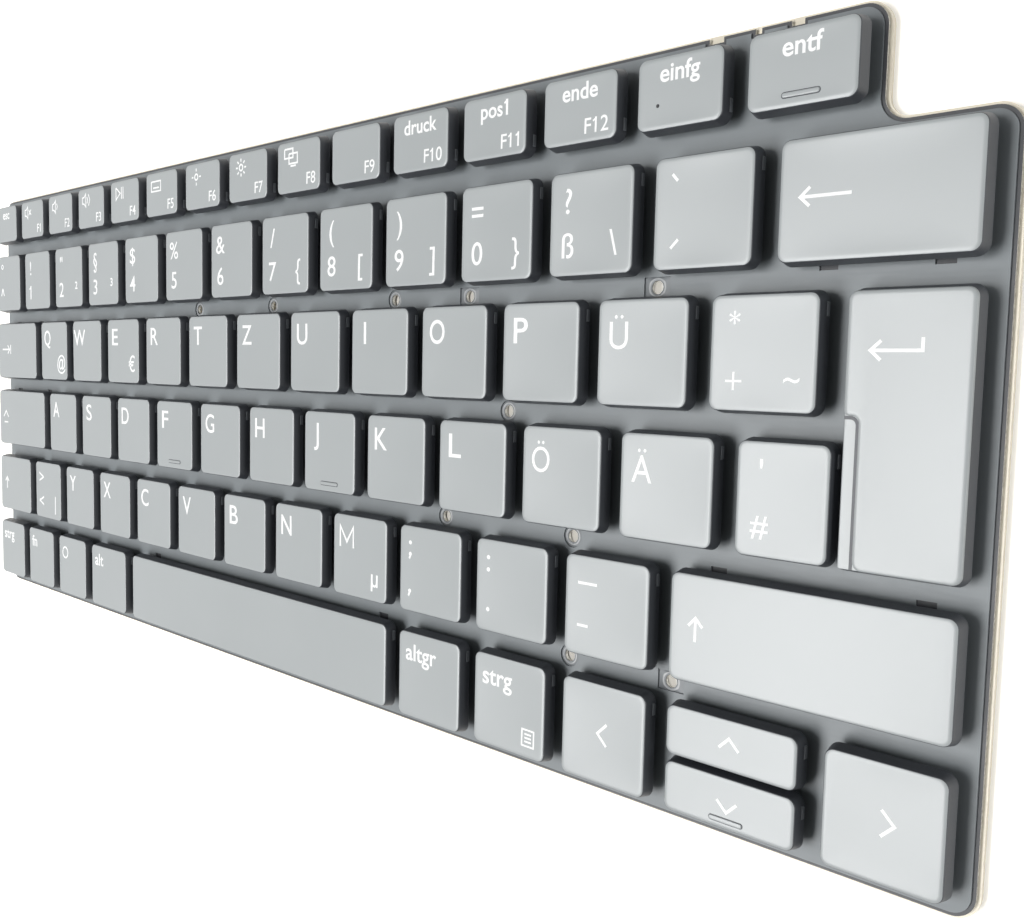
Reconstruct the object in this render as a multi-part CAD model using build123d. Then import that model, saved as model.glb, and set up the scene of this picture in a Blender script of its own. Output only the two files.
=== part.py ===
from build123d import *

import os
from functools import lru_cache
from math import atan2, degrees, hypot

# Compact laptop keyboard module, in millimetres.
# X runs along the rows, Y to the function row, Z up from the flat back.
# The origin is the middle of the back.

# Key field
KEY_PITCH = 18.7
KEY_GAP_X = 3.65
KEY_GAP_Y = 3.75
TAB_W = 24.7
CAPS_LOCK_W = 29.4
LEFT_SHIFT_W = 19.9
BACKSPACE_W = 24.5
ALT_W = 17.4
ARROW_W = 19.6
ARROW_SPLIT = 1.05
HASH_ENTER_GAP = 1.3
DELETE_W = 14.6
FUNCTION_D = 9.55
FUNCTION_GAP_Y = 4.05
FUNCTION_SETBACK = 15.0

# Sheet stack, from the back upwards
REFLECTOR_T = 0.25
GUIDE_T = 0.75
PLATE_T = 0.5
FILM_T = 0.25

# Sheet edges
EDGE_SIDE = 2.45
EDGE_REAR = 2.3
EDGE_FRONT = 2.7
NOTCH_MARGIN = 1.6
CORNER_R = 3.0
FILM_INSET = 0.5
GUIDE_LIP = 0.4
REAR_SLOT_D = 0.7
REAR_SLOTS = [(-5.5, 2.2), (0.75, 0.9), (6.3, 1.8)]

# Screw holes, each on the line between two rows, counted in key pitches from the left of the field
SCREW_HOLE_R = 0.95
SCREW_PLACES = {"number": [5.5, 7.0, 9.0, 10.0, 12.0], "q": [10.5], "a": [9.75, 11.25], "shift": [11.25, 12.25]}
SQUARE_WINDOWS = {("number", 12.0), ("number", 10.0), ("shift", 12.25)}
WINDOW_W = 4.4
WINDOW_D = 2.9
RECESS_R = 1.75
GUIDE_HOLE_CLEAR = 0.6

# Keycaps
CAP_H = 2.1
CAP_ROOF = 0.9
CAP_WALL = 0.7
CAP_CORNER_R = 1.2
CAP_EDGE_R = 0.22
SKIRT_FLARE = 0.42
LEDGE_W = 1.9
LEDGE_DROP = 0.45
LEDGE_R = 0.5
TRAVEL = 1.4
STOP_GAP = 0.4
BAR_W = 4.4
BAR_D = 0.8
BAR_H = 0.15
BAR_SETBACK = 1.5
BAR_KEYS = {"f", "j", "delete", "arrow_down"}

# Scissor links, domes, hooks and stabiliser wires under the caps
LINK_W = 11.0
LINK_HALF_SPAN = 4.2
LINK_SECTION = 0.6
LINK_EYE_R = 0.65
LINK_PIN_R = 0.3
PIN_CLEAR = 0.06
LINK_CLEAR = 0.1
RUN_CLEAR = 0.3
HOOK_W = 2.2
HOOK_T = 0.3
CLIP_W = 1.2
CLIP_T = 0.3
CLIP_OFFSET = 3.0
DOME_R = 2.7
DOME_WALL = 0.35
DOME_FLANGE = 0.35
DOME_FLANGE_T = 0.2
PLUNGER_R = 1.6
PLUNGER_H = 0.5
WIRE_R = 0.35
WIRE_HOOK_INSET = 1.0
WIRE_ARM = 4.6
WIRE_FOOT = 2.4
STABILISER_FROM = 22.0
STABILISER_INSET = 3.0
FRONT_STABILISERS = {"backspace"}
SLOT_CLEAR = 0.15
SLOT_REACH = 0.35

# Rows of keys with their own widths; a key with no width shares what its row leaves over
KEY_W = KEY_PITCH - KEY_GAP_X
KEY_D = KEY_PITCH - KEY_GAP_Y
FUNCTION_KEYS = ["esc"] + [f"f{n}" for n in range(1, 13)] + ["insert"]
NUMBER_KEYS = ["caret"] + [f"digit_{n}" for n in (1, 2, 3, 4, 5, 6, 7, 8, 9, 0)] + ["sharp_s", "acute"]
Q_KEYS = ["q", "w", "e", "r", "t", "z", "u", "i", "o", "p", "ue", "plus"]
A_KEYS = ["a", "s", "d", "f", "g", "h", "j", "k", "l", "oe", "ae"]
SHIFT_KEYS = ["less", "y", "x", "c", "v", "b", "n", "m", "comma", "period", "minus"]
MODIFIER_KEYS = ["left_ctrl", "fn", "meta", "alt"]
ROWS = {
    "function": [(key, None) for key in FUNCTION_KEYS] + [("delete", DELETE_W)],
    "number": [(key, KEY_W) for key in NUMBER_KEYS] + [("backspace", None)],
    "q": [("tab", TAB_W)] + [(key, KEY_W) for key in Q_KEYS] + [("enter", None)],
    "a": [("caps_lock", CAPS_LOCK_W)] + [(key, KEY_W) for key in A_KEYS] + [("hash", None)],
    "shift": [("left_shift", LEFT_SHIFT_W)] + [(key, KEY_W) for key in SHIFT_KEYS] + [("right_shift", None)],
    "bottom": [("left_ctrl", KEY_W), ("fn", KEY_W), ("meta", KEY_W), ("alt", ALT_W), ("space", None),
               ("alt_gr", KEY_W), ("right_ctrl", KEY_W), ("arrow_left", KEY_W), ("arrows", ARROW_W),
               ("arrow_right", KEY_W)],
}
MAIN_ROWS = ["number", "q", "a", "shift", "bottom"]

# Places that follow from the sizes above
FIELD_W = len(NUMBER_KEYS) * KEY_PITCH + BACKSPACE_W
FIELD_RIGHT = FIELD_W / 2
FIELD_LEFT = -FIELD_RIGHT
PLATE_W = FIELD_W + 2 * EDGE_SIDE
FIELD_D = FUNCTION_D + FUNCTION_GAP_Y + len(MAIN_ROWS) * KEY_PITCH - KEY_GAP_Y
PLATE_D = EDGE_REAR + FIELD_D + EDGE_FRONT
PLATE_REAR = PLATE_D / 2
FUNCTION_REAR = PLATE_REAR - EDGE_REAR
NUMBER_REAR = FUNCTION_REAR - FUNCTION_D - FUNCTION_GAP_Y
DELETE_RIGHT = FIELD_RIGHT - FUNCTION_SETBACK
ROW_REAR = {row: NUMBER_REAR - index * KEY_PITCH for index, row in enumerate(MAIN_ROWS)}

GUIDE_Z = REFLECTOR_T
PLATE_Z = GUIDE_Z + GUIDE_T
FILM_Z = PLATE_Z + PLATE_T
DECK_Z = FILM_Z + FILM_T
SKIRT_Z = DECK_Z + STOP_GAP + TRAVEL
KEY_TOP_Z = SKIRT_Z + CAP_H
ROOF_Z = KEY_TOP_Z - CAP_ROOF

# A link's end bar turns inside this radius at any tilt
LINK_ROUND = hypot(LINK_SECTION, LINK_SECTION) / 2
LINK_LOW_Z = DECK_Z + LINK_CLEAR + LINK_ROUND
LINK_HIGH_Z = ROOF_Z - LINK_CLEAR - LINK_ROUND
WIRE_LOW_Z = DECK_Z + LINK_CLEAR + WIRE_R
WIRE_HIGH_Z = ROOF_Z - LINK_CLEAR - WIRE_R
# What stands between a link's end bar and the outside of the skirt
LINK_SURROUND = LINK_ROUND + LINK_CLEAR + HOOK_T + RUN_CLEAR + CAP_WALL


def row_cells(keys, left, right):
    """Middle and width of each key of a row that fills the space from left to right."""
    fixed = sum(width for name, width in keys if width is not None)
    free = [name for name, width in keys if width is None]
    share = (right - left - fixed - KEY_GAP_X * (len(keys) - 1)) / len(free)
    cells = {}
    for name, width in keys:
        width = share if width is None else width
        cells[name] = (left + width / 2, width)
        left += width + KEY_GAP_X
    return cells


def key_cells():
    """Middle x, middle y, width and depth of the top of each key."""
    cells = {}
    for name, (x, width) in row_cells(ROWS["function"], FIELD_LEFT, DELETE_RIGHT).items():
        cells[name] = (x, FUNCTION_REAR - FUNCTION_D / 2, width, FUNCTION_D)
    for row in MAIN_ROWS:
        right = FIELD_RIGHT
        if row == "a":
            right = cells["enter"][0] - cells["enter"][2] / 2 - HASH_ENTER_GAP
        for name, (x, width) in row_cells(ROWS[row], FIELD_LEFT, right).items():
            cells[name] = (x, ROW_REAR[row] - KEY_D / 2, width, KEY_D)
    x, y, width, depth = cells["enter"]
    cells["enter"] = (x, y - KEY_PITCH / 2, width, depth + KEY_PITCH)
    x, y, width, depth = cells.pop("arrows")
    half = (depth - ARROW_SPLIT) / 2
    cells["arrow_up"] = (x, y + (depth - half) / 2, width, half)
    cells["arrow_down"] = (x, y - (depth - half) / 2, width, half)
    return cells


CELLS = key_cells()


def turned(name):
    """A key that is deeper than wide has its mechanism turned by a quarter."""
    x, y, width, depth = CELLS[name]
    return depth > width


def seat(name):
    """Place of a key's mechanism on the deck, with its long side along local X."""
    x, y, width, depth = CELLS[name]
    return Pos(x, y, 0) * Rot(0, 0, 90 if turned(name) else 0)


def mechanism_size(name):
    """Length and breadth of the space under a cap, along the mechanism's own X and Y."""
    x, y, width, depth = CELLS[name]
    return (depth, width) if turned(name) else (width, depth)


def link_span(breadth):
    """Half the distance between the two end bars of a scissor link."""
    return min(LINK_HALF_SPAN, breadth / 2 - LINK_SURROUND)


def dome_radius(breadth):
    """Radius of a dome's flange, which stays inside the links."""
    return min(DOME_R, link_span(breadth) - LINK_ROUND - 2 * LINK_CLEAR)


def has_stabiliser(name):
    return mechanism_size(name)[0] > STABILISER_FROM


def wire_half(length):
    """Half the distance between the two arms of a stabiliser wire."""
    return length / 2 - STABILISER_INSET


def wire_side(name):
    """The long bar of a stabiliser lies at the rear of its key, or at the front."""
    return -1 if name in FRONT_STABILISERS else 1


def wire_offset(breadth):
    """Distance of a stabiliser's long bar from the middle of its key."""
    return breadth / 2 - CAP_WALL - RUN_CLEAR - HOOK_T - LINK_CLEAR - WIRE_R


def block(width, depth, low, high, x=0, y=0):
    """Box given by its plan size, its lowest and highest level and its middle."""
    return Pos(x, y, (low + high) / 2) * Box(width, depth, high - low)


@lru_cache(maxsize=None)
def cap_body(width, depth):
    """Drafted block with rounded corners; its skirt stands out by the flare on each side."""
    skirt = RectangleRounded(width + 2 * SKIRT_FLARE, depth + 2 * SKIRT_FLARE, CAP_CORNER_R + SKIRT_FLARE)
    top = RectangleRounded(width, depth, CAP_CORNER_R)
    body = loft([Pos(0, 0, SKIRT_Z) * skirt, Pos(0, 0, KEY_TOP_Z) * top], ruled=True)
    return fillet(body.edges().group_by(Axis.Z)[-1], CAP_EDGE_R)


@lru_cache(maxsize=None)
def enter_body(width, depth):
    """Two-row cap with a low ledge along the front part of its left side."""
    ledge_z = KEY_TOP_Z - LEDGE_DROP
    skirt = RectangleRounded(width + 2 * SKIRT_FLARE, depth + 2 * SKIRT_FLARE, CAP_CORNER_R + SKIRT_FLARE)
    body = loft([Pos(0, 0, SKIRT_Z) * skirt, Pos(0, 0, ledge_z) * RectangleRounded(width, depth, CAP_CORNER_R)],
                ruled=True)
    rear_part = Pos(0, (depth - KEY_D) / 2) * RectangleRounded(width, KEY_D, CAP_CORNER_R)
    front_part = Pos(LEDGE_W / 2, 0) * RectangleRounded(width - LEDGE_W, depth, CAP_CORNER_R)
    face = rear_part + front_part
    inner_corner = (LEDGE_W - width / 2, depth / 2 - KEY_D)
    face = fillet(face.vertices().sort_by_distance(inner_corner)[0], LEDGE_R)
    body += extrude(Pos(0, 0, ledge_z) * face, LEDGE_DROP)
    return fillet(body.edges().group_by(Axis.Z)[-1], CAP_EDGE_R)


@lru_cache(maxsize=None)
def cap_hollow(width, depth):
    """Space under a cap, with walls that follow the draft of the skirt."""
    inner_r = CAP_CORNER_R - CAP_WALL / 2
    skirt = RectangleRounded(width + 2 * (SKIRT_FLARE - CAP_WALL), depth + 2 * (SKIRT_FLARE - CAP_WALL), inner_r)
    roof = RectangleRounded(width - 2 * CAP_WALL, depth - 2 * CAP_WALL, inner_r)
    return loft([Pos(0, 0, SKIRT_Z) * skirt, Pos(0, 0, ROOF_Z) * roof], ruled=True)


@lru_cache(maxsize=None)
def cap_fittings(length, breadth, side):
    """Plunger over the dome, clips for the link bars and, on a long key, clips for the wire's feet."""
    span = link_span(breadth)
    clip_low = ROOF_Z - LINK_CLEAR - 2 * LINK_ROUND
    plunger_r = min(PLUNGER_R, dome_radius(breadth) - DOME_WALL)
    fittings = [Pos(0, 0, ROOF_Z - PLUNGER_H / 2) * Cylinder(plunger_r, PLUNGER_H)]
    clip_y = span + LINK_ROUND + LINK_CLEAR + CLIP_T / 2
    for x in (-CLIP_OFFSET, CLIP_OFFSET):
        for y in (-clip_y, clip_y):
            fittings.append(block(CLIP_W, CLIP_T, clip_low, ROOF_Z, x, y))
    if length > STABILISER_FROM:
        foot_x = wire_half(length) - WIRE_FOOT + CLIP_W / 2
        tip_y = side * (wire_offset(breadth) - WIRE_ARM)
        apart = WIRE_R + LINK_CLEAR + CLIP_T / 2
        for x in (-foot_x, foot_x):
            for y in (tip_y - apart, tip_y + apart):
                fittings.append(block(CLIP_W, CLIP_T, clip_low, ROOF_Z, x, y))
    return fittings


def touch_bar(depth):
    """Raised bar near the front edge of a cap, for finding the key by touch."""
    return block(BAR_W, BAR_D, KEY_TOP_Z - BAR_H, KEY_TOP_Z + BAR_H, 0, BAR_SETBACK - depth / 2)


def keycap(name):
    """One cap in its place: body, hollow, fittings and any touch bar."""
    x, y, width, depth = CELLS[name]
    body = enter_body(width, depth) if name == "enter" else cap_body(width, depth)
    body = body - cap_hollow(width, depth)
    turn = Rot(0, 0, 90 if turned(name) else 0)
    fittings = [turn * piece for piece in cap_fittings(*mechanism_size(name), wire_side(name))]
    if name in BAR_KEYS:
        fittings.append(touch_bar(depth))
    return Pos(x, y, 0) * (body + fittings)


@lru_cache(maxsize=None)
def dome(breadth):
    """Hollow rubber cone on a flange, turned about its own axis."""
    flange_r = dome_radius(breadth)
    base_r = flange_r - DOME_FLANGE
    tip_r = min(PLUNGER_R, flange_r - DOME_WALL) * base_r / flange_r
    tip_z = ROOF_Z - PLUNGER_H - LINK_CLEAR
    rim_z = DECK_Z + DOME_FLANGE_T
    inner_base = base_r - DOME_WALL / 2
    inner_tip = tip_r - DOME_WALL / 2
    profile = Polyline((inner_base, DECK_Z), (flange_r, DECK_Z), (flange_r, rim_z), (base_r, rim_z), (tip_r, tip_z),
                       (0, tip_z), (0, tip_z - DOME_WALL), (inner_tip, tip_z - DOME_WALL), close=True)
    return revolve(Plane.XZ * make_face(profile), Axis.Z)


def link_frame(width, span, tilt_sign):
    """Ring with four bars and two eyes, tilted about X so that one end bar is low and the other high."""
    rise = LINK_HIGH_Z - LINK_LOW_Z
    slope = hypot(2 * span, rise)
    ring = Rectangle(width, slope + LINK_SECTION) - Rectangle(width - 2 * LINK_SECTION, slope - LINK_SECTION)
    frame = extrude(ring, LINK_SECTION / 2, both=True)
    eye = Rot(0, 90, 0) * Cylinder(LINK_EYE_R, LINK_SECTION)
    eye_x = (width - LINK_SECTION) / 2
    frame += [Pos(-eye_x, 0, 0) * eye, Pos(eye_x, 0, 0) * eye]
    tilt = degrees(atan2(rise, 2 * span))
    return frame, Pos(0, 0, (LINK_LOW_Z + LINK_HIGH_Z) / 2) * Rot(tilt_sign * tilt, 0, 0)


def outer_width(length):
    """Width of the outer link, which stays inside the skirt."""
    return min(LINK_W, length - 2 * (CAP_WALL + RUN_CLEAR))


@lru_cache(maxsize=None)
def outer_link(length, breadth):
    """Link with a pivot hole in each side bar; its front bar is the low one."""
    width = outer_width(length)
    frame, place = link_frame(width, link_span(breadth), 1)
    hole = Rot(0, 90, 0) * Cylinder(LINK_PIN_R + PIN_CLEAR, width + LINK_SECTION)
    return place * (frame - hole)


@lru_cache(maxsize=None)
def inner_link(length, breadth):
    """Link that turns inside the outer one on two short pins; its rear bar is the low one."""
    width = outer_width(length) - 2 * (LINK_SECTION + LINK_CLEAR)
    frame, place = link_frame(width, link_span(breadth), -1)
    pin_l = LINK_CLEAR + LINK_SECTION
    pin = Rot(0, 90, 0) * Cylinder(LINK_PIN_R, pin_l)
    pin_x = (width + pin_l) / 2
    return place * (frame + [Pos(-pin_x, 0, 0) * pin, Pos(pin_x, 0, 0) * pin])


@lru_cache(maxsize=None)
def stabiliser_wire(length, breadth, side):
    """Bent wire: a long bar in the plate's hooks, two rising arms and two feet in the cap's clips."""
    half = wire_half(length)
    bar_y = side * wire_offset(breadth)
    tip_y = side * (wire_offset(breadth) - WIRE_ARM)
    foot = half - WIRE_FOOT
    path = Polyline((-foot, tip_y, WIRE_HIGH_Z), (-half, tip_y, WIRE_HIGH_Z), (-half, bar_y, WIRE_LOW_Z),
                    (half, bar_y, WIRE_LOW_Z), (half, tip_y, WIRE_HIGH_Z), (foot, tip_y, WIRE_HIGH_Z))
    return sweep(Plane(path @ 0, z_dir=path % 0) * Circle(WIRE_R), path, transition=Transition.RIGHT)


def hook(y, bar_r, bar_z, x=0):
    """Tab bent up from the plate and over a bar that lies at y, open to the middle of the key."""
    outward = 1 if y > 0 else -1
    post_y = y + outward * (bar_r + LINK_CLEAR + HOOK_T / 2)
    lip_z = bar_z + bar_r + LINK_CLEAR
    reach = bar_r + LINK_CLEAR + HOOK_T
    post = block(HOOK_W, HOOK_T, FILM_Z, lip_z + HOOK_T, x, post_y)
    return post + block(HOOK_W, reach, lip_z, lip_z + HOOK_T, x, y + outward * reach / 2)


def key_hooks(name):
    """Hooks of one key: two for its links and, on a long key, two for its stabiliser wire."""
    length, breadth = mechanism_size(name)
    span = link_span(breadth)
    hooks = [hook(-span, LINK_ROUND, LINK_LOW_Z), hook(span, LINK_ROUND, LINK_LOW_Z)]
    if has_stabiliser(name):
        bar_y = wire_side(name) * wire_offset(breadth)
        hook_x = wire_half(length) - WIRE_HOOK_INSET - HOOK_W / 2
        hooks += [hook(bar_y, WIRE_R, WIRE_LOW_Z, x) for x in (-hook_x, hook_x)]
    return [seat(name) * piece for piece in hooks]


def key_slots(name):
    """Openings in the film for one key's hooks; those of a stabiliser reach out past the skirt."""
    length, breadth = mechanism_size(name)
    slot_w = HOOK_W + 2 * SLOT_CLEAR
    slot_d = HOOK_T + 2 * SLOT_CLEAR
    post_y = link_span(breadth) + LINK_ROUND + LINK_CLEAR + HOOK_T / 2
    slots = [Pos(0, y) * Rectangle(slot_w, slot_d) for y in (-post_y, post_y)]
    if has_stabiliser(name):
        inner = wire_offset(breadth) + WIRE_R + LINK_CLEAR - SLOT_CLEAR
        outer = breadth / 2 + SKIRT_FLARE + SLOT_REACH
        slot_x = wire_half(length) - WIRE_HOOK_INSET - HOOK_W / 2
        slot_y = wire_side(name) * (inner + outer) / 2
        slots += [Pos(x, slot_y) * Rectangle(slot_w, outer - inner) for x in (-slot_x, slot_x)]
    return [seat(name) * slot for slot in slots]


def sheet_outline(grow):
    """Rectangle without its rear right corner, beside the last key of the function row."""
    right, rear = PLATE_W / 2, PLATE_REAR
    notch_x, notch_y = DELETE_RIGHT + NOTCH_MARGIN, NUMBER_REAR + NOTCH_MARGIN
    points = [(-right, -rear), (right, -rear), (right, notch_y), (notch_x, notch_y), (notch_x, rear), (-right, rear)]
    face = make_face(Polyline(*points, close=True))
    face = fillet(face.vertices(), CORNER_R)
    return offset(face, grow) if grow else face


def screw_points():
    """Place of each screw hole, with its row and its count of pitches."""
    points = []
    for row, counts in SCREW_PLACES.items():
        y = ROW_REAR[row] - KEY_D - KEY_GAP_Y / 2
        points += [(row, count, FIELD_LEFT - KEY_GAP_X / 2 + count * KEY_PITCH, y) for count in counts]
    return points


def pierced(face, radius):
    """Sheet outline with a round hole at each screw."""
    return face - [Pos(x, y) * Circle(radius) for row, count, x, y in screw_points()]


def base_plate():
    """Stamped plate with screw holes, slots in its rear edge and all the hooks."""
    face = pierced(sheet_outline(0), SCREW_HOLE_R)
    slot_x = CELLS["delete"][0] - (DELETE_W + KEY_GAP_X) / 2
    face -= [Pos(slot_x + x, PLATE_REAR) * Rectangle(width, 2 * REAR_SLOT_D) for x, width in REAR_SLOTS]
    plate = extrude(Pos(0, 0, PLATE_Z) * face, PLATE_T)
    return plate + [piece for name in CELLS for piece in key_hooks(name)]


def membrane_film():
    """Black film that carries the contacts, open at the hooks and round the screws."""
    face = sheet_outline(-FILM_INSET)
    openings = [slot for name in CELLS for slot in key_slots(name)]
    for row, count, x, y in screw_points():
        square = (row, count) in SQUARE_WINDOWS
        openings.append(Pos(x, y) * (Rectangle(WINDOW_W, WINDOW_D) if square else Circle(RECESS_R)))
    slot_x = CELLS["delete"][0] - (DELETE_W + KEY_GAP_X) / 2
    openings += [Pos(slot_x + x, PLATE_REAR) * Rectangle(width + 2 * FILM_INSET, 2 * (REAR_SLOT_D + FILM_INSET))
                 for x, width in REAR_SLOTS]
    return extrude(Pos(0, 0, FILM_Z) * (face - openings), FILM_T)


def light_guide():
    """Pale translucent panel under the plate, a little larger than it."""
    face = pierced(sheet_outline(GUIDE_LIP), SCREW_HOLE_R + GUIDE_HOLE_CLEAR)
    return extrude(Pos(0, 0, GUIDE_Z) * face, GUIDE_T)


def reflector_sheet():
    """White sheet on the back of the light guide."""
    face = pierced(sheet_outline(0), SCREW_HOLE_R + GUIDE_HOLE_CLEAR)
    return extrude(face, REFLECTOR_T)


def mechanism_groups():
    """Domes, links and wires of all keys, as groups of like pieces."""
    sizes = {name: mechanism_size(name) for name in CELLS}
    wired = [name for name in CELLS if has_stabiliser(name)]
    return {
        "rubber_domes": [seat(name) * dome(size[1]) for name, size in sizes.items()],
        "scissor_outer_links": [seat(name) * outer_link(*size) for name, size in sizes.items()],
        "scissor_inner_links": [seat(name) * inner_link(*size) for name, size in sizes.items()],
        "stabiliser_wires": [seat(name) * stabiliser_wire(*sizes[name], wire_side(name)) for name in wired],
    }


def nodes():
    """Every node's solids by name."""
    fixed = {"function_keys": FUNCTION_KEYS, "number_keys": NUMBER_KEYS, "modifier_keys": MODIFIER_KEYS}
    parts = {
        "base_plate": [base_plate()],
        "membrane_film": [membrane_film()],
        "light_guide": [light_guide()],
        "reflector_sheet": [reflector_sheet()],
    }
    parts.update(mechanism_groups())
    parts.update({group: [keycap(name) for name in names] for group, names in fixed.items()})
    grouped = {name for names in fixed.values() for name in names}
    parts.update({f"key_{name}": [keycap(name)] for name in CELLS if name not in grouped})
    return parts


os.makedirs("parts", exist_ok=True)
for node, pieces in nodes().items():
    solids = [solid for piece in pieces for solid in piece.solids()]
    export_step(solids[0] if len(solids) == 1 else Compound(solids), f"parts/{node}.step")
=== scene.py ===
import math

import bmesh
import bpy
import numpy as np
from mathutils import Matrix, Vector


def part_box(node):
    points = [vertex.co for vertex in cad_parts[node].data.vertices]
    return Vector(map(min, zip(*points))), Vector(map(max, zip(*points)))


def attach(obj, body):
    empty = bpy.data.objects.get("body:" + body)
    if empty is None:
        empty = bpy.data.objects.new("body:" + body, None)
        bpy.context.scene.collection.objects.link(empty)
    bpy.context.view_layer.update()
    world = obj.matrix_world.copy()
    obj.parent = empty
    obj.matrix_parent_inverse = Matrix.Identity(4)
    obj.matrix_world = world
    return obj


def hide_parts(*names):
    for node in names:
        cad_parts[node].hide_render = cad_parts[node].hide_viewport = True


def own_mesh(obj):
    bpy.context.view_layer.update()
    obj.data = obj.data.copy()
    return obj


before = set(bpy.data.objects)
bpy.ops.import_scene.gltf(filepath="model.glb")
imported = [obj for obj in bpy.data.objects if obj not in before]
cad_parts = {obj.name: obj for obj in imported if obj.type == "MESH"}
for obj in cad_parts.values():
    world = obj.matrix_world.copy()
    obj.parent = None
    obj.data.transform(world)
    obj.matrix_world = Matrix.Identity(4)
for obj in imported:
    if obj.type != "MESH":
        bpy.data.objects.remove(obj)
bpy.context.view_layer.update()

# Lengths are in millimetres in the object's own frame, and become metres when a mesh is made.
MM = 0.001

# Caps
KEY_GAP = 3.65
SKIRT_FLARE = 0.42
CAP_CORNER_R = 1.2
CAP_EDGE_R = 0.28
SHOULDER_SHARE = 5.0
SHOULDER_TILT = math.radians(18)
CAP_WALL = 0.7
CAP_ROOF = 0.9
LEDGE_W = 1.9
LEDGE_DROP = 0.45
LEDGE_R = 0.9
LEDGE_REAR_R = 0.75
LEDGE_FRONT_R = 0.3
REAR_PART_D = 14.95
CORNER_STEPS = 8
EDGE_STEPS = 5
# Steps of the upper edge below the top's painted sheen, left in the wall's dark colour
DARK_EDGE_STEPS = 3
RUN_SPACING = 1.8
DISH_DEPTH = 0.17
DISH_FULL_AT = 14.0
TOP_SHARES = (0.94, 0.85, 0.7, 0.5, 0.3, 0.12)
# Painted shade of a groove: a dark flat ribbon's width on the enter key's ledge, and how far it lies below
# and above the surface
GROOVE_SHADE_W = 0.44
GROOVE_SUNK = 0.06
GROOVE_PROUD = 0.01
SKIRT_BREAK = 0.06
SKIRT_LIP = 0.02
LEDGE_EDGE_R = 0.1
FACE_SUNK = 0.2
MITRE_LIMIT = 0.4

# Small marks on the caps
BAR_W = 5.0
BAR_D = 0.6
BAR_H = 0.15
BAR_SUNK = 0.05
BAR_EDGE_R = 0.08
BAR_END_SHARE = 0.49
# Width of the painted shadow gap round a touch bar
BAR_GROOVE_SHADE_W = 0.12
BAR_SETBACKS = {"f": 1.50, "j": 1.50, "delete": 1.50, "arrow_down": 1.10}
GATE_L = 2.0
GATE_H = 0.45
GATE_PROUD = 0.14
GATE_SUNK = 0.1
GATE_LIFT = 0.25
GATE_NARROWING = 0.8
GATE_SETBACK = 2.0
GATELESS_KEYS = ("delete", "backspace", "enter", "right_shift", "arrow_right")

# Print on the caps
PRINT_T = 0.015
PRINT_SUNK = 0.05
LETTER_H = 3.85
LETTER_W = 3.1
SIGN_H = 3.55
WORD_H = 2.85
SMALL_WORD_H = 2.3
NUMBER_H = 2.15
LETTER_WEIGHT = 0.04
SIGN_WEIGHT = 0.025
WORD_WEIGHT = 0.06
NUMBER_WEIGHT = 0.02
STROKE_W = 0.42
THIN_STROKE_W = 0.3
ICON_STROKE_W = STROKE_W * 0.8
# Flag of the figure 1, in shares of its height
FLAG_STEM = 0.06
FLAG_DROP = 0.09
FLAG_REACH = (0.26, 0.17)
FLAG_THINNING = 0.85
LETTER_COLUMN = 3.55
LEFT_COLUMN = 3.4
RIGHT_COLUMN = 3.35
UPPER_BASELINE = 6.05
UMLAUT_BASELINE = 6.95
SIGN_BASELINE = 5.85
LOWER_BASELINE = 2.65
WORD_MARGIN = 1.75
WORD_BASELINE = 4.9
SMALL_WORD_BASELINE = 3.3
NUMBER_MARGIN = 1.35
NUMBER_BASELINE = 1.2

# Mechanism under the caps
LINK_W = 11.0
LINK_HALF_SPAN = 4.2
LINK_SECTION = 0.6
LINK_CLEAR = 0.1
LINK_SURROUND = 1.82
LINK_HALF_DIAGONAL = 0.42
LINK_END_MARGIN = 2.0
DOME_R = 2.7
DOME_CLEAR = 0.62
DOME_TIP_GAP = 0.6
WIRE_R = 0.35
WIRE_INSET = 3.0
WIRE_ARM = 4.6
WIRE_FOOT = 2.4
WIRE_FROM_EDGE = 1.75
STABILISER_FROM = 22.0

# Screw holes, counted in key pitches along each row gap
KEY_PITCH = 18.7
HOLE_R = 0.95
WINDOW = (4.4, 2.9)
RECESS_R = 1.75
COLLAR_CLEAR = 0.02
COLLAR_POINTS = 40
HOLE_ROWS = {21.45: (5.5, 7.0, 9.0, 10.0, 12.0), 2.75: (10.5,), -15.95: (9.75, 11.25), -34.65: (11.25, 12.25)}
SQUARE_WINDOWS = ((21.45, 12.0), (21.45, 10.0), (-34.65, 12.25))

FUNCTION_KEYS = ["esc"] + [f"f{n}" for n in range(1, 13)] + ["insert"]
NUMBER_KEYS = ["caret"] + [f"digit_{n}" for n in (1, 2, 3, 4, 5, 6, 7, 8, 9, 0)] + ["sharp_s", "acute"]
MODIFIER_KEYS = ["left_ctrl", "fn", "meta", "alt"]
FIXED_GROUPS = {"function_keys": FUNCTION_KEYS, "number_keys": NUMBER_KEYS, "modifier_keys": MODIFIER_KEYS}


def box_mm(node):
    """Lowest and highest corner of a CAD node, in millimetres."""
    low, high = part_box(node)
    return np.array(low) / MM, np.array(high) / MM


def key_tops():
    """Left, front, right and rear of each cap's top: the node's box less the flare of the skirt.

    A row that is one node is divided into equal keys with the row's gap between them, and the last
    modifier takes what the others leave."""
    tops = {}
    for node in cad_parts:
        if node.startswith("key_"):
            low, high = box_mm(node)
            tops[node[4:]] = (*(low[:2] + SKIRT_FLARE), *(high[:2] - SKIRT_FLARE))
    letter_w = tops["q"][2] - tops["q"][0]
    for node, names in FIXED_GROUPS.items():
        low, high = box_mm(node)
        left, right = low[0] + SKIRT_FLARE, high[0] - SKIRT_FLARE
        share = (right - left - KEY_GAP * (len(names) - 1)) / len(names)
        for name in names:
            width = letter_w if node == "modifier_keys" else share
            end = right if name == names[-1] else left + width
            tops[name] = (left, low[1] + SKIRT_FLARE, end, high[1] - SKIRT_FLARE)
            left = end + KEY_GAP
    return tops


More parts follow.
